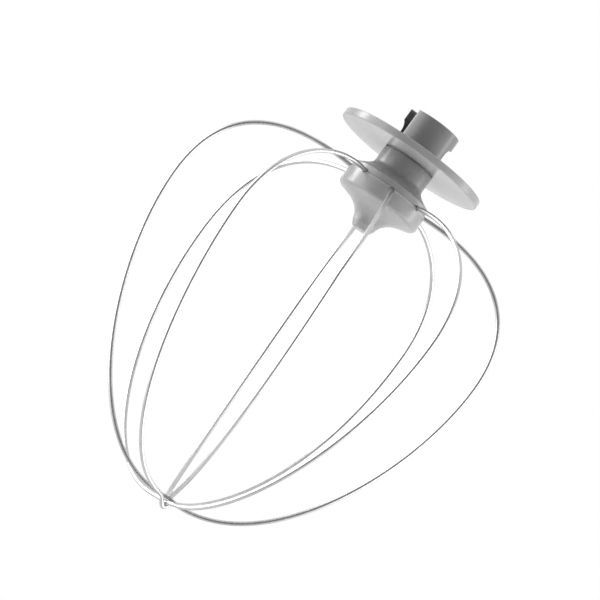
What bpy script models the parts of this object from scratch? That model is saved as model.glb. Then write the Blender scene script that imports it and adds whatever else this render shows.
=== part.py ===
"""Balloon whisk for a stand mixer: a bayonet drive hub, a loose splash disc and four crossed wire loops.

Metres, +Z up along the axis with the drive end up. The origin is on the axis, level with the
top face of the splash disc, where the mixer's drive ends.
"""
import math

import bmesh
import bpy
from mathutils import Matrix

NAME = "mixer_whisk"
MM = 0.001

# gaps between separate pieces, millimetres
FIT = 0.3
FACE_GAP = 0.1

# hub: drive tube, neck and flared cap, one moulding
TUBE_R = 10.05
TUBE_TOP = 13.5
TUBE_CHAMFER = 0.4
BORE_R = 7.9
SOCKET_FLOOR = -6.0
GROOVE_R = 9.45
NECK_END = -8.9
FLARE_BEND_R = 11.4
FLARE_BEND_Z = -11.3
RIM_R = 15.8
RIM_TOP = -13.5
SEAM = -16.25
HALF_SEAM = 0.05
HUB_STEPS = 48

# bayonet slots through the wall of the drive tube, widths across the tube
SLOT_AZIMUTH = 100.0
SLOT_LEG_LEFT = -2.6
SLOT_LEG_RIGHT = 4.7
SLOT_TOE_LEFT = -6.7
SLOT_BOTTOM = 2.6
SLOT_TOE_TOP = 8.5
SLOT_ENTRY = 1.9
SLOT_CORNER = 0.9
SLOT_TOE_CURVE = 3.0
SLOT_CUT_FROM = 3.0
SLOT_CUT_TO = 14.0

# splash disc, loose in the groove of the neck
DISC_R = 28.6
DISC_THICK = 2.8
DISC_EDGE = 0.45
DISC_STEPS = 72

# bell: the lower half of the hub, clamps the wires against the cap
BELL_R = 16.2
BELL_WALL_END = -21.15
BELL_SHOULDER = 1.65
BELL_FOOT_R = 3.4
BELL_FOOT = -32.6
SPIGOT_R = 5.0
SPIGOT_TOP = -13.2

# centre screw and its washer
SCREW_SEAT = -8.8
SEAT_R = 3.8
WASHER_R = 3.4
WASHER_THICK = 0.4
HEAD_R = 3.0
HEAD_TALL = 1.9
SHANK_R = 1.45
SHANK_END = -28.2
PILOT_R = 1.75
PILOT_END = -29.0
CROSS_LONG = 3.4
CROSS_WIDE = 0.8
CROSS_DEEP = 1.0

# wire loops
WIRE_R = 0.8
CHANNEL_R = 0.95
CHANNEL_END = 21.0
ANCHOR_R = 8.5
ANCHOR_END = -21.0
ANCHOR_BEND = 1.8
LEAVE_R = 13.0
TIP_WIDTH = 2.6
TIP_SHIFT = 0.6
TIP_SHIFT_REACH = 10.0
ARM_STEPS = 15
BELLY_STEPS = 22
TIP_STEPS = 10

SWING_FROM = 18.0
SWING_TO = 40.0

# One entry per arm, because hand-bent wires differ a little:
# azimuth, largest radius, height of it, slope in degrees and lead at the hub, fullness above and
# below the widest point, slope in degrees and fullness at the tip, sideways swing in degrees at
# the widest point and at the tip.
# One entry per loop: height where its arms would meet, height of its crossing, its two arms.
LOOPS = (
    (-148.85, -148.4, (0.0, 65.2, -53.8, 5.7, 39.0, 23.0, 39.2, -5.4, 38.3, 0.0, 0.0),
     (180.0, 64.7, -54.1, 5.7, 34.1, 27.8, 39.2, -8.7, 36.8, 0.0, 0.0)),
    (-147.65, -146.55, (90.0, 64.8, -54.0, 5.7, 36.3, 26.0, 39.2, -7.0, 37.6, -0.8, -1.6),
     (270.0, 65.0, -58.0, -13.0, 21.0, 24.0, 30.0, -7.0, 37.6, -0.5, 3.6)),
    (-149.05, -152.1, (45.0, 59.9, -54.4, 5.7, 18.0, 32.1, 62.0, -7.2, 14.5, 1.7, 1.7),
     (225.0, 60.3, -56.0, 5.7, 21.3, 28.6, 34.6, -6.7, 42.0, 1.1, 1.1)),
    (-149.3, -150.25, (135.0, 60.8, -60.9, 5.7, 21.7, 39.5, 45.8, -13.2, 33.9, 0.2, 0.2),
     (315.0, 60.0, -56.7, 5.7, 28.9, 25.8, 48.3, -10.9, 25.2, -1.7, -1.7)),
)


def clear_scene():
    for item in list(bpy.data.objects):
        bpy.data.objects.remove(item, do_unlink=True)
    for group in list(bpy.data.collections):
        bpy.data.collections.remove(group)


def new_collection(name):
    group = bpy.data.collections.new(name)
    bpy.context.scene.collection.children.link(group)
    return group


def material(name, color, metallic, roughness):
    made = bpy.data.materials.new(name)
    made.use_nodes = True
    shader = made.node_tree.nodes["Principled BSDF"]
    shader.inputs["Base Color"].default_value = (*color, 1.0)
    shader.inputs["Metallic"].default_value = metallic
    shader.inputs["Roughness"].default_value = roughness
    return made


def link_object(name, data, group, surface=None):
    made = bpy.data.objects.new(name, data)
    group.objects.link(made)
    if surface is not None:
        data.materials.append(surface)
    return made


def shade_smooth(thing):
    for face in thing.data.polygons:
        face.use_smooth = True


def apply_modifiers(thing):
    graph = bpy.context.evaluated_depsgraph_get()
    solid = bpy.data.meshes.new_from_object(thing.evaluated_get(graph))
    thing.modifiers.clear()
    thing.data = solid


def cut(thing, cutter):
    step = thing.modifiers.new("cut", "BOOLEAN")
    step.operation = "DIFFERENCE"
    step.solver = "EXACT"
    step.object = cutter
    apply_modifiers(thing)


def arc(cx, cz, radius, start, end, steps):
    points = []
    for index in range(steps + 1):
        angle = math.radians(start + (end - start) * index / steps)
        points.append((cx + radius * math.cos(angle), cz + radius * math.sin(angle)))
    return points


def bezier(p0, p1, p2, p3, steps):
    points = []
    for index in range(steps + 1):
        t = index / steps
        weights = ((1 - t) ** 3, 3 * t * (1 - t) ** 2, 3 * t * t * (1 - t), t ** 3)
        r = sum(w * p[0] for w, p in zip(weights, (p0, p1, p2, p3)))
        z = sum(w * p[1] for w, p in zip(weights, (p0, p1, p2, p3)))
        points.append((r, z))
    return points


def turned(name, profile, closed, steps, group, surface):
    """Revolve a profile of (radius, height) points in millimetres about the Z axis."""
    mesh = bpy.data.meshes.new(name)
    verts = [(r * MM, 0.0, z * MM) for r, z in profile]
    edges = [(i, i + 1) for i in range(len(verts) - 1)]
    if closed:
        edges.append((len(verts) - 1, 0))
    mesh.from_pydata(verts, edges, [])
    made = link_object(name, mesh, group)
    screw = made.modifiers.new("turn", "SCREW")
    screw.axis = "Z"
    screw.angle = math.tau
    screw.steps = steps
    screw.render_steps = steps
    screw.use_merge_vertices = True
    screw.merge_threshold = 0.00001
    apply_modifiers(made)
    face_outward(made)
    made.data.materials.clear()
    made.data.materials.append(surface)
    shade_smooth(made)
    return made


def face_outward(thing):
    work = bmesh.new()
    work.from_mesh(thing.data)
    bmesh.ops.remove_doubles(work, verts=work.verts, dist=0.000001)
    bmesh.ops.recalc_face_normals(work, faces=work.faces)
    work.to_mesh(thing.data)
    work.free()


def hub_profile():
    top = TUBE_TOP
    neck_top = FIT
    neck_low = -DISC_THICK - FIT
    points = [(PILOT_R + 0.1, SCREW_SEAT), (SEAT_R, SCREW_SEAT), (SEAT_R, SOCKET_FLOOR)]
    points += [(BORE_R, SOCKET_FLOOR), (BORE_R, top - TUBE_CHAMFER), (BORE_R + TUBE_CHAMFER, top)]
    points += [(TUBE_R - TUBE_CHAMFER, top), (TUBE_R, top - TUBE_CHAMFER)]
    points += [(TUBE_R, neck_top), (GROOVE_R, neck_top), (GROOVE_R, neck_low), (TUBE_R, neck_low)]
    start = (TUBE_R, NECK_END)
    bend = (FLARE_BEND_R, FLARE_BEND_Z)
    points += bezier(start, (TUBE_R, NECK_END - 1.4), bend, (RIM_R - 0.3, RIM_TOP + 0.05), 6)
    points += [(RIM_R, RIM_TOP - 0.25), (RIM_R, SEAM + HALF_SEAM), (SPIGOT_R + FIT, SEAM + HALF_SEAM)]
    points += [(SPIGOT_R + FIT, SPIGOT_TOP + 0.2), (PILOT_R + 0.1, SPIGOT_TOP + 0.2)]
    return points


def bell_profile():
    top = SEAM - HALF_SEAM
    points = [(0.0, PILOT_END), (PILOT_R, PILOT_END), (PILOT_R, SPIGOT_TOP), (SPIGOT_R, SPIGOT_TOP)]
    points += [(SPIGOT_R, top), (BELL_R - 0.2, top), (BELL_R, top - 0.2)]
    points += arc(BELL_R - BELL_SHOULDER, BELL_WALL_END, BELL_SHOULDER, 0.0, -70.0, 5)
    points += bezier((14.4, -22.85), (10.9, -24.1), (5.75, -25.15), (4.5, -30.4), 9)
    points += [(4.0, -31.2), (BELL_FOOT_R, -32.3), (BELL_FOOT_R - 0.5, BELL_FOOT), (0.0, BELL_FOOT)]
    return points


def disc_profile():
    low = -DISC_THICK
    bore = GROOVE_R + FIT
    points = [(bore, low), (bore, 0.0)]
    points += arc(DISC_R - DISC_EDGE, -DISC_EDGE, DISC_EDGE, 90.0, 0.0, 4)
    points += arc(DISC_R - DISC_EDGE, low + DISC_EDGE, DISC_EDGE, 0.0, -90.0, 4)
    return points


def rounded(corners, steps):
    """Replace every corner (x, z, radius) of a closed outline by a curve of that radius."""
    points = []
    count = len(corners)
    for index in range(count):
        px, pz = corners[index - 1][:2]
        cx, cz, radius = corners[index]
        nx, nz = corners[(index + 1) % count][:2]
        in_len = math.hypot(px - cx, pz - cz)
        out_len = math.hypot(nx - cx, nz - cz)
        start = (cx + (px - cx) / in_len * radius, cz + (pz - cz) / in_len * radius)
        end = (cx + (nx - cx) / out_len * radius, cz + (nz - cz) / out_len * radius)
        for step in range(steps + 1):
            t = step / steps
            x = (1 - t) ** 2 * start[0] + 2 * t * (1 - t) * cx + t * t * end[0]
            z = (1 - t) ** 2 * start[1] + 2 * t * (1 - t) * cz + t * t * end[1]
            points.append((x, z))
    return points


def slot_cutter(index, group):
    """One J-shaped bayonet slot, open at the top of the tube with its toe at the bottom."""
    open_top = TUBE_TOP + 4.0
    lip = TUBE_TOP + 0.05
    corner = SLOT_CORNER
    entry_left = SLOT_LEG_LEFT - SLOT_ENTRY - 0.6
    corners = [(SLOT_TOE_LEFT, SLOT_BOTTOM, corner), (SLOT_LEG_RIGHT, SLOT_BOTTOM, corner)]
    corners += [(SLOT_LEG_RIGHT, open_top, 0.2), (entry_left, open_top, 0.2), (entry_left, lip, 0.05)]
    corners += [(SLOT_LEG_LEFT, lip, SLOT_ENTRY), (SLOT_LEG_LEFT, SLOT_TOE_TOP, corner)]
    corners += [(SLOT_TOE_LEFT, SLOT_TOE_TOP, SLOT_TOE_CURVE)]
    outline = rounded(corners, 4)
    work = bmesh.new()
    verts = [work.verts.new((x * MM, -SLOT_CUT_FROM * MM, z * MM)) for x, z in outline]
    face = work.faces.new(verts)
    made = bmesh.ops.extrude_face_region(work, geom=[face])
    moved = [item for item in made["geom"] if isinstance(item, bmesh.types.BMVert)]
    reach = (SLOT_CUT_TO - SLOT_CUT_FROM) * MM
    bmesh.ops.translate(work, verts=moved, vec=(0.0, -reach, 0.0))
    turn = math.radians(SLOT_AZIMUTH + 180.0 * index)
    bmesh.ops.rotate(work, verts=work.verts, cent=(0, 0, 0), matrix=Matrix.Rotation(turn, 3, "Z"))
    bmesh.ops.recalc_face_normals(work, faces=work.faces)
    mesh = bpy.data.meshes.new("slot_cutter_%d" % index)
    work.to_mesh(mesh)
    work.free()
    return link_object(mesh.name, mesh, group)


def inner_leg(extra):
    """Anchored end of an arm: up out of the bell, then outward along the seam."""
    bend_r = ANCHOR_R + ANCHOR_BEND
    points = [(ANCHOR_R, ANCHOR_END - extra)]
    points += arc(bend_r, SEAM - ANCHOR_BEND, ANCHOR_BEND, 180.0, 90.0, 5)
    return points


def arm(loop, side):
    """One arm of a loop as (radius, height) points, from the anchored end to the crossing."""
    meet_z, cross_z = loop[:2]
    azimuth, wide, widest_z, climb, lead, upper, lower, slope, foot, swing, foot_swing = loop[2 + side]
    rise = math.radians(climb)
    turn = math.radians(slope)
    belly = (wide, widest_z)
    shoulder = (LEAVE_R + lead * math.cos(rise), SEAM + lead * math.sin(rise))
    points = inner_leg(0.0)
    points += bezier((LEAVE_R, SEAM), shoulder, (wide, widest_z + upper), belly, ARM_STEPS)
    handle = (foot * math.cos(turn), meet_z + foot * math.sin(turn))
    lower_half = bezier(belly, (wide, widest_z - lower), handle, (0.0, meet_z), BELLY_STEPS)[1:]
    far = [point for point in lower_half if point[0] > TIP_WIDTH * 3.0]
    near_start = far[-1]
    for index in range(1, TIP_STEPS + 1):
        r = near_start[0] * (1.0 - index / TIP_STEPS)
        far.append((r, height_at(lower_half, r)))
    points += [(r, z + (cross_z - meet_z) * math.exp(-(r / TIP_WIDTH) ** 2)) for r, z in far]
    return points


def height_at(curve, radius):
    for (r0, z0), (r1, z1) in zip(curve, curve[1:]):
        if r1 <= radius <= r0:
            return z0 + (z1 - z0) * (r0 - radius) / max(r0 - r1, 1e-9)
    return curve[-1][1]


def tube(name, points, radius, group, surface=None):
    data = bpy.data.curves.new(name, "CURVE")
    data.dimensions = "3D"
    data.bevel_depth = radius * MM
    data.bevel_resolution = 2
    data.use_fill_caps = True
    spline = data.splines.new("POLY")
    spline.points.add(len(points) - 1)
    for point, place in zip(spline.points, points):
        point.co = (place[0] * MM, place[1] * MM, place[2] * MM, 1.0)
    source = link_object(name + "_path", data, group)
    graph = bpy.context.evaluated_depsgraph_get()
    mesh = bpy.data.meshes.new_from_object(source.evaluated_get(graph))
    bpy.data.objects.remove(source, do_unlink=True)
    mesh.name = name
    made = link_object(name, mesh, group)
    face_outward(made)
    mesh.materials.clear()
    if surface is not None:
        mesh.materials.append(surface)
    shade_smooth(made)
    return made


def in_space(points, wire):
    """Turn an arm's (radius, height) points to its azimuth, with its sideways swing."""
    azimuth, wide, widest_z = wire[:3]
    swing, foot_swing = wire[-2:]
    placed = []
    for r, z in points:
        out = min(max((r - SWING_FROM) / (SWING_TO - SWING_FROM), 0.0), 1.0)
        down = min(max((widest_z - z) / 85.0, 0.0), 1.0)
        grow = 1.0 if z < widest_z else out * out * (3.0 - 2.0 * out)
        angle = math.radians(azimuth + grow * (swing + (foot_swing - swing) * down))
        shift = TIP_SHIFT * math.exp(-(r / TIP_SHIFT_REACH) ** 2) if z < widest_z else 0.0
        placed.append((r * math.cos(angle) + shift, r * math.sin(angle), z))
    return placed


def make_loop(number, loop, group, surface):
    first = in_space(arm(loop, 0), loop[2])
    second = in_space(arm(loop, 1), loop[3])
    path = first + second[-2::-1]
    return tube("wire_loop_%d" % number, path, WIRE_R, group, surface)


def channel_cutter(number, loop, side, group):
    """Room for one wire end: the start of its arm, a little wider and a little longer."""
    wire = arm(loop, side)[len(inner_leg(0.0)):]
    inside = sum(1 for r, z in wire[:ARM_STEPS] if r < CHANNEL_END)
    points = inner_leg(0.4) + wire[:inside + 1]
    return tube("channel_cutter_%d_%d" % (number, side), in_space(points, loop[2 + side]), CHANNEL_R, group)


def screw_profile():
    seat = SCREW_SEAT + WASHER_THICK + 2 * FACE_GAP
    top = seat + HEAD_TALL
    points = [(0.0, top), (HEAD_R * 0.6, top - 0.1), (HEAD_R * 0.92, top - 0.6), (HEAD_R, seat + 0.5)]
    points += [(HEAD_R, seat), (SHANK_R, seat), (SHANK_R, SHANK_END + 1.4)]
    points += [(0.35, SHANK_END), (0.0, SHANK_END)]
    return points


def washer_profile():
    low = SCREW_SEAT + FACE_GAP
    top = low + WASHER_THICK
    return [(SHANK_R + 0.3, low), (SHANK_R + 0.3, top), (WASHER_R, top), (WASHER_R, low)]


def cross_cutter(index, group):
    seat = SCREW_SEAT + WASHER_THICK + 2 * FACE_GAP
    top = seat + HEAD_TALL
    work = bmesh.new()
    bmesh.ops.create_cube(work, size=1.0)
    long_side = CROSS_LONG if index == 0 else CROSS_WIDE
    wide_side = CROSS_WIDE if index == 0 else CROSS_LONG
    bmesh.ops.scale(work, verts=work.verts, vec=(long_side * MM, wide_side * MM, 2 * CROSS_DEEP * MM))
    bmesh.ops.translate(work, verts=work.verts, vec=(0.0, 0.0, top * MM))
    mesh = bpy.data.meshes.new("cross_cutter_%d" % index)
    work.to_mesh(mesh)
    work.free()
    return link_object(mesh.name, mesh, group)


def keep_as_cutter(thing):
    thing.hide_render = True
    thing.display_type = "WIRE"


def build():
    clear_scene()
    parts = new_collection(NAME)
    cutters = new_collection("cutters")
    grey = material("hub_grey", (0.16, 0.16, 0.16), 0.0, 0.42)
    milky = material("bell_milky", (0.52, 0.52, 0.52), 0.0, 0.3)
    pale = material("disc_pale", (0.62, 0.62, 0.62), 0.0, 0.25)
    steel = material("wire_steel", (0.62, 0.62, 0.62), 1.0, 0.14)
    zinc = material("screw_zinc", (0.55, 0.55, 0.55), 1.0, 0.35)

    hub = turned("hub_body", hub_profile(), True, HUB_STEPS, parts, grey)
    bell = turned("hub_bell", bell_profile(), False, HUB_STEPS, parts, milky)
    turned("splash_disc", disc_profile(), True, DISC_STEPS, parts, pale)
    turned("screw_washer", washer_profile(), True, 24, parts, zinc)
    screw = turned("hub_screw", screw_profile(), False, 20, parts, zinc)

    for index in range(2):
        cutter = slot_cutter(index, cutters)
        cut(hub, cutter)
        keep_as_cutter(cutter)
    for number, loop in enumerate(LOOPS, start=1):
        for side in range(2):
            cutter = channel_cutter(number, loop, side, cutters)
            cut(hub, cutter)
            cut(bell, cutter)
            keep_as_cutter(cutter)
    for index in range(2):
        cutter = cross_cutter(index, cutters)
        cut(screw, cutter)
        keep_as_cutter(cutter)
    for number, loop in enumerate(LOOPS, start=1):
        make_loop(number, loop, parts, steel)


build()
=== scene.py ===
"""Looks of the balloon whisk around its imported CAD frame, +Z up, drive end up.

The whisk's own sizes are in millimetres and turned into metres where they are used. The studio's
sizes are in metres, and angles are in degrees.
"""

import math

import bmesh
import bpy
from mathutils import Matrix, Vector


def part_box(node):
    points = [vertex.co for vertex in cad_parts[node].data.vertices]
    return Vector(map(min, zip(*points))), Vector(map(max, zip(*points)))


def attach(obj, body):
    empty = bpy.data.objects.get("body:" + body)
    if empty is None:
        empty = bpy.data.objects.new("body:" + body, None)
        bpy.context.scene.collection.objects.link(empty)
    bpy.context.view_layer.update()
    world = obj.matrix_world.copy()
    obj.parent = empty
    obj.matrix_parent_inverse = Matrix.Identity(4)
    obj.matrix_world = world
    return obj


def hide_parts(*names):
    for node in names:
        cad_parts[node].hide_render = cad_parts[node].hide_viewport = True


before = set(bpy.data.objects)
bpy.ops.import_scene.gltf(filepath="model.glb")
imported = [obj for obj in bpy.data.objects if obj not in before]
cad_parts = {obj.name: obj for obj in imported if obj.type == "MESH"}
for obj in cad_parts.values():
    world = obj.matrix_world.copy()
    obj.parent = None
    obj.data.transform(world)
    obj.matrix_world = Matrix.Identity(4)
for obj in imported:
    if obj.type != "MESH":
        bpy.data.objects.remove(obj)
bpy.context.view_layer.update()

MM = 0.001

# distances below which mesh points are one point, metres
TURN_MERGE = 0.000005
POINT_MERGE = 0.000001


def top_of(node):
    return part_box(node)[1].z / MM


def foot_of(node):
    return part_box(node)[0].z / MM


def radius_of(node):
    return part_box(node)[1].x / MM


# gaps between pieces
FIT = 0.3
FACE_GAP = 0.1
PILOT_PLAY = 0.1
SPIGOT_PLAY = 0.2

# hub: drive tube, neck and flared cap
TUBE_R = 10.05
TUBE_TOP = top_of("hub_body")
BORE_R = 7.9
SOCKET_FLOOR = -6.0
GROOVE_R = 9.45
NECK_END = -8.9
FLARE_LEAD = 1.4
FLARE_BEND_R = 11.4
FLARE_BEND_Z = -11.3
RIM_R = radius_of("hub_body")
RIM_TOP = -13.5
RIM_ROUND = 0.35
SEAM = -16.25
HALF_SEAM = 0.03
TUBE_LIP = 0.4
BORE_LIP = 0.35
BORE_ROOT = 0.4
SEAT_EDGE = 0.15
GROOVE_EDGE = 0.12
GROOVE_ROOT = 0.1
CAP_EDGE = 0.06
HUB_STEPS = 128

# bayonet slots
SLOT_AZIMUTH = 100.0
SLOT_LEG_LEFT = -2.6
SLOT_LEG_RIGHT = 4.7
SLOT_TOE_LEFT = -6.7
SLOT_BOTTOM = 2.6
SLOT_TOE_TOP = 8.5
SLOT_ENTRY = 1.9
SLOT_CORNER = 0.9
SLOT_TOE_CURVE = 3.0
SLOT_EDGE = 0.22
SLOT_CUT_FROM = 3.0
SLOT_CUT_TO = 14.0
SLOT_EDGE_DEG = 40.0

# splash disc
DISC_R = radius_of("splash_disc")
DISC_TOP = top_of("splash_disc")
DISC_FOOT = foot_of("splash_disc")
DISC_EDGE = 0.45
DISC_BORE_EDGE = 0.15
DISC_STEPS = 192

# bell
BELL_R = radius_of("hub_bell")
BELL_FOOT = foot_of("hub_bell")
BELL_WALL_END = -21.15
BELL_SHOULDER = 1.65
# control points of the curve below the shoulder, from a fit made outside this script
BELL_FLANK = ((14.4, -22.85), (10.9, -24.1), (5.75, -25.15), (4.5, -30.4))
BELL_FOOT_R = 3.4
BELL_LIP = 0.12
SPIGOT_R = 5.0
SPIGOT_TOP = top_of("hub_bell")

# centre screw and washer
SCREW_SEAT = foot_of("screw_washer") - FACE_GAP
SEAT_R = 3.8
HEAD_TOP = top_of("hub_screw")
HEAD_FOOT = top_of("screw_washer") + FACE_GAP
HEAD_R = 3.0
SHANK_R = 1.45
SHANK_END = foot_of("hub_screw")
PILOT_R = 1.75
PILOT_END = -29.0
WASHER_R = 3.4
CROSS_LONG = 3.4
CROSS_WIDE = 0.8
CROSS_DEEP = 1.0
CROSS_TAPER = 0.6
SCREW_STEPS = 64

# wires
WIRE_R = 0.8
CHANNEL_R = 1.0
CHANNEL_END = 21.0
ANCHOR_R = 8.5
ANCHOR_END = -21.0
ANCHOR_BEND = 1.8
LEAVE_R = 13.0
ARM_STEPS = 70
BELLY_STEPS = 110
TIP_STEPS = 40
TIP_WIDTH = 2.6
TIP_SHIFT = 0.6
TIP_SHIFT_REACH = 10.0
SWING_FROM = 18.0
SWING_TO = 40.0
SWING_DROP = 85.0
# Per loop: the height where its arms would meet and the height of its crossing, then its two arms.
# Per arm: azimuth, largest radius, height of it, slope and lead at the hub, fullness above and below
# the widest point, slope and fullness at the tip, sideways swing at the widest point and at the tip.
# Most of the arms' numbers come from curve fits made outside this script.
LOOPS = (
    (-148.85, -148.4, (0.0, 65.2, -53.8, 5.7, 39.0, 23.0, 39.2, -5.4, 38.3, 0.0, 0.0),
     (180.0, 64.7, -54.1, 5.7, 34.1, 27.8, 39.2, -8.7, 36.8, 0.0, 0.0)),
    (-147.65, -146.55, (90.0, 64.8, -54.0, 5.7, 36.3, 26.0, 39.2, -7.0, 37.6, -0.8, -1.6),
     (270.0, 65.0, -58.0, -13.0, 21.0, 24.0, 30.0, -7.0, 37.6, -0.5, 3.6)),
    (-149.05, -152.1, (45.0, 59.9, -54.4, 5.7, 18.0, 32.1, 62.0, -7.2, 14.5, 1.7, 1.7),
     (225.0, 60.3, -56.0, 5.7, 21.3, 28.6, 34.6, -6.7, 42.0, 1.1, 1.1)),
    (-149.3, -150.25, (135.0, 60.8, -60.9, 5.7, 21.7, 39.5, 45.8, -13.2, 33.9, 0.2, 0.2),
     (315.0, 60.0, -56.7, 5.7, 28.9, 25.8, 48.3, -10.9, 25.2, -1.7, -1.7)),
)


# ---------------------------------------------------------------- geometry

def link(name, data):
    made = bpy.data.objects.new(name, data)
    bpy.context.scene.collection.objects.link(made)
    return made


def drop(thing):
    bpy.data.objects.remove(thing, do_unlink=True)


def bake_modifiers(thing):
    graph = bpy.context.evaluated_depsgraph_get()
    mesh = bpy.data.meshes.new_from_object(thing.evaluated_get(graph))
    thing.modifiers.clear()
    thing.data = mesh


def smooth(thing, sharp_deg=32.0):
    for face in thing.data.polygons:
        face.use_smooth = True
    thing.data.set_sharp_from_angle(angle=math.radians(sharp_deg))


def arc(cx, cz, radius, start, end, steps):
    points = []
    for index in range(steps + 1):
        angle = math.radians(start + (end - start) * index / steps)
        points.append((cx + radius * math.cos(angle), cz + radius * math.sin(angle)))
    return points


def bezier(p0, p1, p2, p3, steps):
    points = []
    for index in range(steps + 1):
        t = index / steps
        weights = ((1 - t) ** 3, 3 * t * (1 - t) ** 2, 3 * t * t * (1 - t), t ** 3)
        r = sum(w * p[0] for w, p in zip(weights, (p0, p1, p2, p3)))
        z = sum(w * p[1] for w, p in zip(weights, (p0, p1, p2, p3)))
        points.append((r, z))
    return points


def fillet(corners, steps=4, closed=True):
    """Round a profile of (radius, height, corner radius) points."""
    points = []
    count = len(corners)
    for index, (cx, cz, size) in enumerate(corners):
        ends = not closed and index in (0, count - 1)
        if size <= 0 or ends:
            points.append((cx, cz))
            continue
        px, pz = corners[index - 1][:2]
        nx, nz = corners[(index + 1) % count][:2]
        before = math.hypot(px - cx, pz - cz)
        after = math.hypot(nx - cx, nz - cz)
        start = (cx + (px - cx) / before * size, cz + (pz - cz) / before * size)
        end = (cx + (nx - cx) / after * size, cz + (nz - cz) / after * size)
        for step in range(steps + 1):
            t = step / steps
            x = (1 - t) ** 2 * start[0] + 2 * t * (1 - t) * cx + t * t * end[0]
            z = (1 - t) ** 2 * start[1] + 2 * t * (1 - t) * cz + t * t * end[1]
            points.append((x, z))
    return points


def turned(name, profile, closed, steps):
    mesh = bpy.data.meshes.new(name)
    verts = [(r * MM, 0.0, z * MM) for r, z in profile]
    edges = [(i, i + 1) for i in range(len(verts) - 1)]
    if closed:
        edges.append((len(verts) - 1, 0))
    mesh.from_pydata(verts, edges, [])
    made = link(name, mesh)
    screw = made.modifiers.new("turn", "SCREW")
    screw.axis = "Z"
    screw.angle = math.tau
    screw.steps = steps
    screw.render_steps = steps
    screw.use_merge_vertices = True
    screw.merge_threshold = TURN_MERGE
    bake_modifiers(made)
    tidy(made)
    return made


def tidy(thing):
    work = bmesh.new()
    work.from_mesh(thing.data)
    bmesh.ops.remove_doubles(work, verts=work.verts, dist=POINT_MERGE)
    bmesh.ops.recalc_face_normals(work, faces=work.faces)
    work.to_mesh(thing.data)
    work.free()


def cut(thing, cutter):
    step = thing.modifiers.new("cut", "BOOLEAN")
    step.operation = "DIFFERENCE"
    step.solver = "EXACT"
    step.object = cutter
    bake_modifiers(thing)


def round_slot_edges(thing):
    """Break the sharp outer edges the slots leave on the drive tube."""
    off_wall = 0.03 * MM
    foot = SLOT_BOTTOM * MM - 0.0002
    top = (TUBE_TOP - 0.45) * MM
    work = bmesh.new()
    work.from_mesh(thing.data)
    picked = []
    for edge in work.edges:
        if len(edge.link_faces) != 2 or edge.calc_face_angle(0.0) < math.radians(SLOT_EDGE_DEG):
            continue
        on_wall = all(abs(math.hypot(v.co.x, v.co.y) - TUBE_R * MM) < off_wall for v in edge.verts)
        in_slot = all(foot < v.co.z < top for v in edge.verts)
        if on_wall and in_slot:
            picked.append(edge)
    bmesh.ops.bevel(work, geom=picked, offset=SLOT_EDGE * MM, segments=3, profile=0.5, affect="EDGES")
    work.to_mesh(thing.data)
    work.free()


def paint_shade_inside(thing, material):
    """Give the faces of the socket and of the slots the dark material of painted shade, for the shade
    inside them.
    """
    thing.data.materials.append(material)
    for face in thing.data.polygons:
        radius = math.hypot(face.center.x, face.center.y) / MM
        height = face.center.z / MM
        rim = height > TUBE_TOP - 0.5 and abs(face.normal.z) > 0.3
        # these faces take the painted shade, while the groove keeps the hub's grey
        if radius < TUBE_R - 0.15 and height > SOCKET_FLOOR - 0.1 and not rim:
            groove = radius > GROOVE_R - 0.05 and height < 1.0
            face.material_index = 0 if groove else 1


def tube(name, points, radius, sides_level):
    data = bpy.data.curves.new(name, "CURVE")
    data.dimensions = "3D"
    data.bevel_depth = radius * MM
    data.bevel_resolution = sides_level
    data.use_fill_caps = True
    spline = data.splines.new("POLY")
    spline.points.add(len(points) - 1)
    for point, place in zip(spline.points, points):
        point.co = (place[0] * MM, place[1] * MM, place[2] * MM, 1.0)
    source = link(name + "_path", data)
    graph = bpy.context.evaluated_depsgraph_get()
    mesh = bpy.data.meshes.new_from_object(source.evaluated_get(graph))
    drop(source)
    mesh.name = name
    made = link(name, mesh)
    tidy(made)
    return made


# ---------------------------------------------------------------- hub

def hub_profile():
    """Outline from the screw's seat over the drive tube, groove and cap, and back to the pilot hole."""
    low = DISC_FOOT - FIT
    pilot = PILOT_R + PILOT_PLAY
    start = [
        (pilot, SCREW_SEAT, 0.0), (SEAT_R, SCREW_SEAT, SEAT_EDGE), (SEAT_R, SOCKET_FLOOR, SEAT_EDGE),
        (BORE_R, SOCKET_FLOOR, BORE_ROOT), (BORE_R, TUBE_TOP, BORE_LIP), (TUBE_R, TUBE_TOP, TUBE_LIP),
        (TUBE_R, FIT, GROOVE_EDGE), (GROOVE_R, FIT, GROOVE_ROOT),
        (GROOVE_R, low, GROOVE_ROOT), (TUBE_R, low, GROOVE_EDGE),
    ]
    points = fillet(start + [(TUBE_R, NECK_END, 0.0)], closed=False)[:-1]
    neck = (TUBE_R, NECK_END)
    bend = (FLARE_BEND_R, FLARE_BEND_Z)
    rim = (RIM_R - 0.45, RIM_TOP + 0.08)
    points += bezier(neck, (TUBE_R, NECK_END - FLARE_LEAD), bend, rim, 22)
    points += arc(RIM_R - RIM_ROUND, RIM_TOP - 0.3, RIM_ROUND, 80.0, 0.0, 5)
    foot = SEAM + HALF_SEAM
    hollow = SPIGOT_R + FIT
    roof = SPIGOT_TOP + SPIGOT_PLAY
    points += fillet([
        (RIM_R, foot + 0.8, 0.0), (RIM_R, foot, CAP_EDGE), (hollow, foot, GROOVE_ROOT),
        (hollow, roof, GROOVE_ROOT), (pilot, roof, 0.0)], closed=False)
    return points


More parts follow.
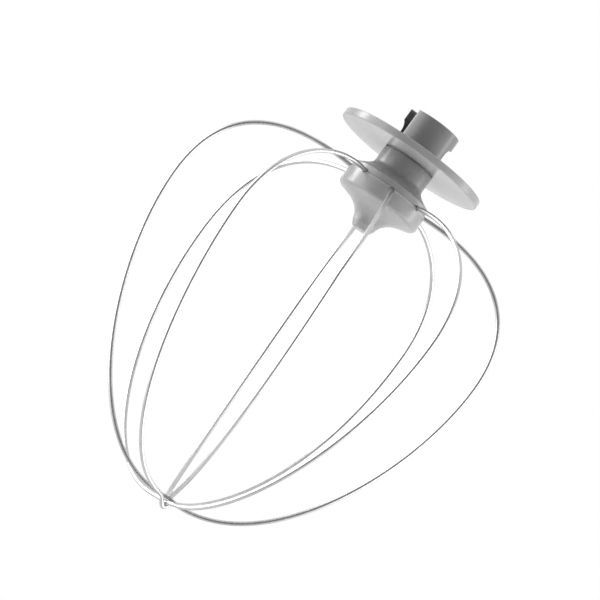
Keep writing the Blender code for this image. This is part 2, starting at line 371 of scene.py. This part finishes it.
def slot_cutter(index):
    """One J-shaped bayonet slot: a leg open at the top and a toe, cut outwards through the wall."""
    open_top = TUBE_TOP + 4.0
    lip = TUBE_TOP + 0.05
    entry_left = SLOT_LEG_LEFT - SLOT_ENTRY - 0.6
    corners = [
        (SLOT_TOE_LEFT, SLOT_BOTTOM, SLOT_CORNER), (SLOT_LEG_RIGHT, SLOT_BOTTOM, SLOT_CORNER),
        (SLOT_LEG_RIGHT, open_top, 0.2), (entry_left, open_top, 0.2), (entry_left, lip, 0.05),
        (SLOT_LEG_LEFT, lip, SLOT_ENTRY), (SLOT_LEG_LEFT, SLOT_TOE_TOP, SLOT_CORNER),
        (SLOT_TOE_LEFT, SLOT_TOE_TOP, SLOT_TOE_CURVE)]
    outline = fillet(corners, steps=6)
    work = bmesh.new()
    verts = [work.verts.new((x * MM, -SLOT_CUT_FROM * MM, z * MM)) for x, z in outline]
    face = work.faces.new(verts)
    made = bmesh.ops.extrude_face_region(work, geom=[face])
    moved = [item for item in made["geom"] if isinstance(item, bmesh.types.BMVert)]
    bmesh.ops.translate(work, verts=moved, vec=(0.0, -(SLOT_CUT_TO - SLOT_CUT_FROM) * MM, 0.0))
    turn = math.radians(SLOT_AZIMUTH + 180.0 * index)
    bmesh.ops.rotate(work, verts=work.verts, cent=(0, 0, 0), matrix=Matrix.Rotation(turn, 3, "Z"))
    bmesh.ops.recalc_face_normals(work, faces=work.faces)
    mesh = bpy.data.meshes.new("slot_cutter")
    work.to_mesh(mesh)
    work.free()
    return link("slot_cutter", mesh)


def inner_leg(extra):
    """The end of a wire in its hole in the bell, up to the bend into the seam."""
    bend_r = ANCHOR_R + ANCHOR_BEND
    points = [(ANCHOR_R, ANCHOR_END - extra), (ANCHOR_R, ANCHOR_END + 1.0)]
    return points + arc(bend_r, SEAM - ANCHOR_BEND, ANCHOR_BEND, 180.0, 90.0, 8)


def channel_cutter(loop, side):
    wire = arm(loop, side)[len(inner_leg(0.0)):]
    inside = sum(1 for point in wire[:ARM_STEPS] if point[0] < CHANNEL_END)
    points = inner_leg(0.4) + wire[:inside + 1]
    return tube("channel_cutter", in_space(points, loop[2 + side]), CHANNEL_R, 5)


def bell_profile():
    top = SEAM - HALF_SEAM
    points = fillet([
        (0.0, PILOT_END, 0.0), (PILOT_R, PILOT_END, 0.0), (PILOT_R, SPIGOT_TOP, 0.15),
        (SPIGOT_R, SPIGOT_TOP, 0.3), (SPIGOT_R, top, 0.1), (BELL_R, top, BELL_LIP),
        (BELL_R, BELL_WALL_END, 0.0)], closed=False)
    points += arc(BELL_R - BELL_SHOULDER, BELL_WALL_END, BELL_SHOULDER, -4.0, -70.0, 16)
    points += bezier(*BELL_FLANK, 30)
    points += fillet([
        (4.42, -30.6, 0.0), (4.0, -31.3, 0.4), (BELL_FOOT_R, BELL_FOOT, 0.7),
        (0.0, BELL_FOOT, 0.0)], closed=False)
    return points


def disc_profile():
    bore = GROOVE_R + FIT
    return fillet([
        (bore, DISC_FOOT, DISC_BORE_EDGE), (bore, DISC_TOP, DISC_BORE_EDGE), (DISC_R, DISC_TOP, DISC_EDGE),
        (DISC_R, DISC_FOOT, DISC_EDGE)], steps=8)


def screw_profile():
    return fillet([
        (0.0, HEAD_TOP, 0.0), (HEAD_R * 0.62, HEAD_TOP - 0.08, 0.3), (HEAD_R, HEAD_TOP - 0.95, 0.45),
        (HEAD_R, HEAD_FOOT, 0.12), (SHANK_R, HEAD_FOOT, 0.1), (SHANK_R, SHANK_END + 1.4, 0.0),
        (0.3, SHANK_END, 0.0), (0.0, SHANK_END, 0.0)], closed=False)


def washer_profile():
    low = foot_of("screw_washer")
    high = top_of("screw_washer")
    hole = SHANK_R + FIT
    return fillet([
        (hole, low, 0.06), (hole, high, 0.06), (WASHER_R, high, 0.1), (WASHER_R, low, 0.06)])


def cross_cutter(index):
    """One bar of the cross recess in the screw's head, narrower at its foot."""
    work = bmesh.new()
    bmesh.ops.create_cube(work, size=1.0)
    wide, deep = (CROSS_LONG, CROSS_WIDE) if index == 0 else (CROSS_WIDE, CROSS_LONG)
    bmesh.ops.scale(work, verts=work.verts, vec=(wide * MM, deep * MM, 2.0 * CROSS_DEEP * MM))
    for vert in work.verts:
        if vert.co.z < 0:
            vert.co.x *= CROSS_TAPER
            vert.co.y *= CROSS_TAPER
    bmesh.ops.translate(work, verts=work.verts, vec=(0.0, 0.0, HEAD_TOP * MM))
    mesh = bpy.data.meshes.new("cross_cutter")
    work.to_mesh(mesh)
    work.free()
    return link("cross_cutter", mesh)


# ---------------------------------------------------------------- wires

def height_at(curve, radius):
    """Height of a curve of (radius, height) points, read at a radius."""
    for (r0, z0), (r1, z1) in zip(curve, curve[1:]):
        if r1 <= radius <= r0:
            return z0 + (z1 - z0) * (r0 - radius) / max(r0 - r1, 1e-9)
    return curve[-1][1]


def arm(loop, side):
    """One arm of a loop as (radius, height) points, from the anchored end to the crossing."""
    meet_z, cross_z = loop[:2]
    wide, widest_z, climb, lead, upper, lower, slope, foot = loop[2 + side][1:9]
    rise = math.radians(climb)
    turn = math.radians(slope)
    belly = (wide, widest_z)
    shoulder = (LEAVE_R + lead * math.cos(rise), SEAM + lead * math.sin(rise))
    points = inner_leg(0.0)
    points += bezier((LEAVE_R, SEAM), shoulder, (wide, widest_z + upper), belly, ARM_STEPS)
    handle = (foot * math.cos(turn), meet_z + foot * math.sin(turn))
    lower_half = bezier(belly, (wide, widest_z - lower), handle, (0.0, meet_z), BELLY_STEPS)[1:]
    far = [point for point in lower_half if point[0] > TIP_WIDTH * 3.0]
    near_start = far[-1]
    for index in range(1, TIP_STEPS + 1):
        r = near_start[0] * (1.0 - index / TIP_STEPS)
        far.append((r, height_at(lower_half, r)))
    points += [(r, z + (cross_z - meet_z) * math.exp(-(r / TIP_WIDTH) ** 2)) for r, z in far]
    return points


def in_space(points, wire):
    """Turn (radius, height) points to their azimuth, with the small swing of a bent wire."""
    azimuth = wire[0]
    widest_z = wire[2]
    swing, foot_swing = wire[-2:]
    placed = []
    for r, z in points:
        out = min(max((r - SWING_FROM) / (SWING_TO - SWING_FROM), 0.0), 1.0)
        down = min(max((widest_z - z) / SWING_DROP, 0.0), 1.0)
        grow = 1.0 if z < widest_z else out * out * (3.0 - 2.0 * out)
        angle = math.radians(azimuth + grow * (swing + (foot_swing - swing) * down))
        shift = TIP_SHIFT * math.exp(-(r / TIP_SHIFT_REACH) ** 2) if z < widest_z else 0.0
        placed.append((r * math.cos(angle) + shift, r * math.sin(angle), z))
    return placed


def make_loop(number, loop):
    path = in_space(arm(loop, 0), loop[2]) + in_space(arm(loop, 1), loop[3])[-2::-1]
    made = tube("wire_%d_surface" % number, path, WIRE_R, 8)
    smooth(made, 50.0)
    return made


# ---------------------------------------------------------------- materials

class Nodes:
    """A small helper around one material's node tree."""

    def __init__(self, name):
        self.material = bpy.data.materials.new(name)
        self.material.use_nodes = True
        self.tree = self.material.node_tree
        self.shader = self.tree.nodes["Principled BSDF"]

    def add(self, kind, **settings):
        node = self.tree.nodes.new("ShaderNode" + kind)
        for key, value in settings.items():
            setattr(node, key, value)
        return node

    def join(self, out, into):
        self.tree.links.new(out, into)

    def place(self, scale=(1.0, 1.0, 1.0)):
        coords = self.add("TexCoord")
        mapping = self.add("Mapping")
        mapping.inputs["Scale"].default_value = scale
        self.join(coords.outputs["Object"], mapping.inputs["Vector"])
        return mapping.outputs["Vector"]

    def noise(self, scale, detail=3.0, stretch=(1.0, 1.0, 1.0)):
        node = self.add("TexNoise")
        node.inputs["Scale"].default_value = scale
        node.inputs["Detail"].default_value = detail
        self.join(self.place(stretch), node.inputs["Vector"])
        return node.outputs["Fac"]

    def spread(self, value, low, high, from_low=0.3, from_high=0.7):
        node = self.add("MapRange")
        node.inputs["From Min"].default_value = from_low
        node.inputs["From Max"].default_value = from_high
        node.inputs["To Min"].default_value = low
        node.inputs["To Max"].default_value = high
        self.join(value, node.inputs["Value"])
        return node.outputs["Result"]

    def math(self, operation, first, second):
        node = self.add("Math", operation=operation)
        for socket, value in zip(node.inputs, (first, second)):
            if isinstance(value, (int, float)):
                socket.default_value = value
            else:
                self.join(value, socket)
        return node.outputs["Value"]

    def grey(self, value):
        node = self.add("CombineColor")
        for channel in ("Red", "Green", "Blue"):
            self.join(value, node.inputs[channel])
        self.join(node.outputs["Color"], self.shader.inputs["Base Color"])

    def axes(self):
        """The X, Y and Z of a point of the piece, in metres."""
        coords = self.add("TexCoord")
        split = self.add("SeparateXYZ")
        self.join(coords.outputs["Object"], split.inputs["Vector"])
        return split.outputs

    def height(self):
        return self.axes()["Z"]

    def reach(self):
        """Distance from the hub's axis, in metres."""
        place = self.axes()
        squares = [self.math("MULTIPLY", place[axis], place[axis]) for axis in "XY"]
        return self.math("SQRT", self.math("ADD", *squares), 0.0)

    def bump(self, height, strength, distance):
        node = self.add("Bump")
        node.inputs["Strength"].default_value = strength
        node.inputs["Distance"].default_value = distance
        self.join(height, node.inputs["Height"])
        self.join(node.outputs["Normal"], self.shader.inputs["Normal"])


def hub_plastic():
    """Satin grey with painted light: a little lighter on the neck, for the light the disc's underside
    throws onto it, and on the flare of the cap, for the light it catches from below.
    """
    made = Nodes("hub_plastic")
    tone = made.spread(made.noise(70.0, 2.0), 0.218, 0.236)
    speck = made.spread(made.noise(2600.0, 2.0), 0.95, 1.05)
    height = made.height()
    # painted light: the neck is made lighter for the light bounced down from the disc's underside
    neck = made.spread(height, 1.0, 1.12, (DISC_FOOT - 0.3) * MM, (DISC_FOOT - 2.0) * MM)
    # painted light: the flare and rim of the cap are made lighter for the light they catch from below
    rim = made.spread(height, 1.0, 1.34, (NECK_END - 1.4) * MM, (RIM_TOP + 1.2) * MM)
    tone = made.math("MULTIPLY", tone, made.math("MULTIPLY", neck, rim))
    made.grey(made.math("MULTIPLY", tone, speck))
    made.join(made.spread(made.noise(220.0, 4.0), 0.26, 0.29), made.shader.inputs["Roughness"])
    made.bump(made.noise(4200.0, 2.0), 0.04, 0.00003)
    made.shader.inputs["IOR"].default_value = 1.5
    return made.material


def socket_painted_shade():
    """Painted shade: matt dark grey on the inside of the socket and the slot walls, standing in for the
    shade in there.
    """
    made = Nodes("socket_painted_shade")
    # painted shade: the dark tone stands in for the shade inside the socket and the slots
    tone = made.spread(made.noise(120.0, 2.0), 0.085, 0.115)
    speck = made.spread(made.noise(2200.0, 2.0), 0.85, 1.15)
    made.grey(made.math("MULTIPLY", tone, speck))
    made.join(made.spread(made.noise(400.0, 4.0), 0.75, 0.90), made.shader.inputs["Roughness"])
    made.bump(made.noise(3800.0, 2.0), 0.20, 0.00004)
    made.shader.inputs["Specular IOR Level"].default_value = 0.1
    return made.material


def milky_plastic(name, low, high, rough_low, rough_high, grain, rim=None, lip=None):
    """Pale plastic with some scatter; rim is the radius of an edge made rougher and painted darker, the
    darker tone being painted shade, lip the height of a band painted paler, a painted highlight along the
    seam.
    """
    made = Nodes(name)
    tone = made.spread(made.noise(90.0, 2.0), low, high)
    speck = made.spread(made.noise(1800.0, 2.0), 0.97, 1.03)
    rough = made.spread(made.noise(160.0, 4.0), rough_low, rough_high)
    if rim:
        edge = made.spread(made.reach(), 0.0, 1.0, (rim - 0.9) * MM, (rim - 0.2) * MM)
        # painted shade: the outermost rim is made darker for the dim light its band receives; the extra
        # roughness below is real
        tone = made.math("MULTIPLY", tone, made.spread(edge, 1.0, 0.82, 0.0, 1.0))
        rough = made.math("ADD", rough, made.spread(edge, 0.0, 0.14, 0.0, 1.0))
    if lip:
        # painted highlight: the bell is made paler just below the seam, for the light line the seam's edges
        # catch
        seam_painted_highlight = made.spread(made.height(), 1.0, 1.5, (lip - 0.55) * MM, (lip - 0.15) * MM)
        tone = made.math("MULTIPLY", tone, seam_painted_highlight)
    made.grey(made.math("MULTIPLY", tone, speck))
    made.join(rough, made.shader.inputs["Roughness"])
    made.bump(made.noise(900.0, 2.0), grain, 0.00004)
    made.shader.inputs["Subsurface Weight"].default_value = 0.2
    made.shader.inputs["Subsurface Radius"].default_value = (1.0, 1.0, 1.0)
    made.shader.inputs["Subsurface Scale"].default_value = 0.0015
    made.shader.inputs["IOR"].default_value = 1.5
    return made.material


def wire_steel():
    """Drawn steel with faint streaks along the wire."""
    made = Nodes("wire_polish")
    made.grey(made.spread(made.noise(240.0, 3.0), 0.60, 0.68))
    streak = made.noise(1500.0, 3.0, (1.0, 1.0, 0.12))
    made.join(made.spread(streak, 0.28, 0.40), made.shader.inputs["Roughness"])
    made.bump(made.noise(3800.0, 2.0, (1.0, 1.0, 0.2)), 0.08, 0.00002)
    made.shader.inputs["Metallic"].default_value = 1.0
    return made.material


def screw_metal():
    made = Nodes("zinc_plate")
    made.grey(made.spread(made.noise(700.0, 4.0), 0.42, 0.58))
    made.join(made.spread(made.noise(1400.0, 3.0), 0.28, 0.48), made.shader.inputs["Roughness"])
    made.bump(made.noise(4200.0, 3.0), 0.15, 0.00003)
    made.shader.inputs["Metallic"].default_value = 1.0
    return made.material


def finish_piece(piece, material, body, node):
    piece.data.materials.clear()
    piece.data.materials.append(material)
    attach(piece, body)
    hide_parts(node)


# ---------------------------------------------------------------- build

def build_hub():
    hub = turned("hub_body_surface", hub_profile(), True, HUB_STEPS)
    bell = turned("hub_bell_surface", bell_profile(), False, HUB_STEPS)
    for index in range(2):
        cutter = slot_cutter(index)
        cut(hub, cutter)
        drop(cutter)
    tidy(hub)
    round_slot_edges(hub)
    for loop in LOOPS:
        for side in range(2):
            cutter = channel_cutter(loop, side)
            cut(hub, cutter)
            cut(bell, cutter)
            drop(cutter)
    for piece in (hub, bell):
        tidy(piece)
        smooth(piece)
    disc = turned("splash_disc_surface", disc_profile(), True, DISC_STEPS)
    smooth(disc, 40.0)
    screw = turned("hub_screw_surface", screw_profile(), False, SCREW_STEPS)
    for index in range(2):
        cutter = cross_cutter(index)
        cut(screw, cutter)
        drop(cutter)
    tidy(screw)
    smooth(screw, 40.0)
    washer = turned("screw_washer_surface", washer_profile(), True, SCREW_STEPS)
    smooth(washer, 40.0)
    zinc = screw_metal()
    # dark grey painted shade for the inside of the socket and the slots
    dark = socket_painted_shade()
    finish_piece(hub, hub_plastic(), "hub", "hub_body")
    paint_shade_inside(hub, dark)
    # lip=SEAM paints a paler band along the bell's top by the seam, a painted highlight
    bell_pale = milky_plastic("bell_plastic", 0.36, 0.40, 0.20, 0.27, 0.02, lip=SEAM)
    finish_piece(bell, bell_pale, "hub", "hub_bell")
    # rim=DISC_R paints the disc's rim edge darker, a painted shade
    disc_pale = milky_plastic("disc_plastic", 0.42, 0.46, 0.06, 0.10, 0.03, rim=DISC_R)
    finish_piece(disc, disc_pale, "splash_disc", "splash_disc")
    finish_piece(screw, zinc, "hub", "hub_screw")
    finish_piece(washer, zinc, "hub", "screw_washer")


def build_wires():
    steel = wire_steel()
    for number, loop in enumerate(LOOPS, start=1):
        piece = make_loop(number, loop)
        finish_piece(piece, steel, "hub", "wire_loop_%d" % number)


# ---------------------------------------------------------------- studio

VIEW_AZIMUTH = -3.0
VIEW_ELEVATION = -7.8
VIEW_ROLL = 35.81
VIEW_DISTANCE = 3.0
VIEW_WIDTH = 0.210
VIEW_HEIGHT = -0.065
VIEW_SIDE = 0.0026
SENSOR = 36.0
FLOOR_HEIGHT = -0.45
FLOOR_RADIUS = 1.2
ROOM_FRONT = 0.20
ROOM_SIDES = 0.95
ROOM_REAR = 0.90
ROOM_TOP = 0.65
ROOM_LAMP = 2.0
MIRROR_DARK = 0.21
MIRROR_SIDES = 0.95
MIRROR_LEFT = 2.2
MIRROR_RIGHT = 0.3

# where each brightness of the world starts and is full, as a part of a unit direction
SIDES_SPAN = (0.45, 0.85)
REAR_SPAN = (0.45, 0.80)
TOP_SPAN = (0.45, 0.85)
LAMP_SPAN = (0.85, 0.97)
MIRROR_SIDES_SPAN = (0.44, 0.84)
MIRROR_STEEP_SPAN = (0.50, 0.90)
MIRROR_LEFT_SPAN = (-0.72, -0.92)
MIRROR_RIGHT_SPAN = (0.78, 0.95)

# soft strips of light: name, azimuth, elevation, width, height, radiance
STRIP_DISTANCE = 0.9
STRIP_AIM = -0.02
STRIPS = (
    ("strip_left", -105.0, 8.0, 0.26, 0.80, 7.0),
    ("strip_right", 92.0, 8.0, 0.26, 0.80, 3.2),
    ("low_right", 77.0, -12.0, 0.70, 0.26, 3.0),
)


def direction(azimuth, elevation):
    """Unit vector from the object towards a place seen at these angles; azimuth 0 is the front."""
    a, e = math.radians(azimuth), math.radians(elevation)
    return Vector((math.sin(a) * math.cos(e), -math.cos(a) * math.cos(e), math.sin(e)))


def make_camera():
    data = bpy.data.cameras.new("camera")
    data.sensor_width = SENSOR
    data.lens = SENSOR * VIEW_DISTANCE / VIEW_WIDTH
    data.clip_start = 0.01
    data.clip_end = 20.0
    camera = link("camera", data)
    back = direction(VIEW_AZIMUTH, VIEW_ELEVATION)
    a = math.radians(VIEW_AZIMUTH)
    right = Vector((math.cos(a), math.sin(a), 0.0))
    up = back.cross(right)
    roll = math.radians(VIEW_ROLL)
    side = right * math.cos(roll) + up * math.sin(roll)
    head = up * math.cos(roll) - right * math.sin(roll)
    target = Vector((0.0, 0.0, VIEW_HEIGHT)) - right * VIEW_SIDE
    place = target + back * VIEW_DISTANCE
    matrix = Matrix((side, head, back)).transposed().to_4x4()
    matrix.translation = place
    camera.matrix_world = matrix
    bpy.context.scene.camera = camera


def make_world():
    """White to the camera; a dim room with bright sides, back and ceiling to everything else."""
    world = bpy.data.worlds.new("studio")
    bpy.context.scene.world = world
    world.use_nodes = True
    tree = world.node_tree
    tree.nodes.clear()
    add = tree.nodes.new
    coords = add("ShaderNodeTexCoord")
    split = add("ShaderNodeSeparateXYZ")
    tree.links.new(coords.outputs["Generated"], split.inputs["Vector"])

    def step(value, span, low, high):
        node = add("ShaderNodeMapRange")
        node.interpolation_type = "SMOOTHSTEP"
        node.inputs["From Min"].default_value = span[0]
        node.inputs["From Max"].default_value = span[1]
        node.inputs["To Min"].default_value = low
        node.inputs["To Max"].default_value = high
        tree.links.new(value, node.inputs["Value"])
        return node.outputs["Result"]

    def both(operation, first, second=None):
        node = add("ShaderNodeMath")
        node.operation = operation
        tree.links.new(first, node.inputs[0])
        if second is not None:
            tree.links.new(second, node.inputs[1])
        return node.outputs["Value"]

    across, along, upward = (split.outputs[axis] for axis in "XYZ")
    flank = both("ABSOLUTE", across)
    rear = step(along, REAR_SPAN, 0.0, ROOM_REAR)
    ceiling = step(upward, TOP_SPAN, 0.0, ROOM_TOP)
    lamp = step(upward, LAMP_SPAN, 0.0, ROOM_LAMP)
    sides = step(flank, SIDES_SPAN, ROOM_FRONT, ROOM_SIDES)
    room = both("ADD", both("MAXIMUM", both("MAXIMUM", sides, rear), ceiling), lamp)
    steep = both("ABSOLUTE", upward)
    mirrored = both("MAXIMUM", step(flank, MIRROR_SIDES_SPAN, MIRROR_DARK, MIRROR_SIDES), rear)
    mirrored = both("MAXIMUM", mirrored, step(steep, MIRROR_STEEP_SPAN, MIRROR_DARK, MIRROR_SIDES))
    mirrored = both("ADD", mirrored, step(across, MIRROR_LEFT_SPAN, 0.0, MIRROR_LEFT))
    mirrored = both("ADD", mirrored, step(across, MIRROR_RIGHT_SPAN, 0.0, MIRROR_RIGHT))
    ray = add("ShaderNodeLightPath")

    def choose(test, without, within):
        node = add("ShaderNodeMix")
        node.data_type = "FLOAT"
        tree.links.new(test, node.inputs["Factor"])
        tree.links.new(without, node.inputs["A"])
        if isinstance(within, float):
            node.inputs["B"].default_value = within
        else:
            tree.links.new(within, node.inputs["B"])
        return node.outputs["Result"]

    light = choose(ray.outputs["Is Glossy Ray"], room, mirrored)
    light = choose(ray.outputs["Is Camera Ray"], light, 1.0)
    background = add("ShaderNodeBackground")
    background.inputs["Color"].default_value = (1.0, 1.0, 1.0, 1.0)
    tree.links.new(light, background.inputs["Strength"])
    output = add("ShaderNodeOutputWorld")
    tree.links.new(background.outputs["Background"], output.inputs["Surface"])


def strip_light(name, azimuth, elevation, wide, tall, radiance):
    data = bpy.data.lights.new(name, "AREA")
    data.shape = "RECTANGLE"
    data.size = wide
    data.size_y = tall
    data.energy = radiance * math.pi * wide * tall
    light = link(name, data)
    back = direction(azimuth, elevation)
    light.location = Vector((0.0, 0.0, STRIP_AIM)) + back * STRIP_DISTANCE
    light.rotation_mode = "QUATERNION"
    light.rotation_quaternion = back.to_track_quat("Z", "Y")


def floor_material():
    made = Nodes("floor_paper")
    made.grey(made.spread(made.noise(3.0, 3.0), 0.86, 0.90))
    made.join(made.spread(made.noise(40.0, 3.0), 0.75, 0.9), made.shader.inputs["Roughness"])
    made.bump(made.noise(900.0, 3.0), 0.05, 0.0002)
    return made.material


def make_floor():
    work = bmesh.new()
    bmesh.ops.create_circle(work, cap_ends=True, radius=FLOOR_RADIUS, segments=96)
    bmesh.ops.translate(work, verts=work.verts, vec=(0.0, 0.0, FLOOR_HEIGHT))
    mesh = bpy.data.meshes.new("floor")
    work.to_mesh(mesh)
    work.free()
    floor = link("floor", mesh)
    floor.data.materials.append(floor_material())
    floor.visible_glossy = False


def build_studio():
    bpy.context.scene.view_settings.view_transform = "Standard"
    make_camera()
    make_world()
    make_floor()
    for strip in STRIPS:
        strip_light(*strip)


build_hub()
build_wires()
build_studio()
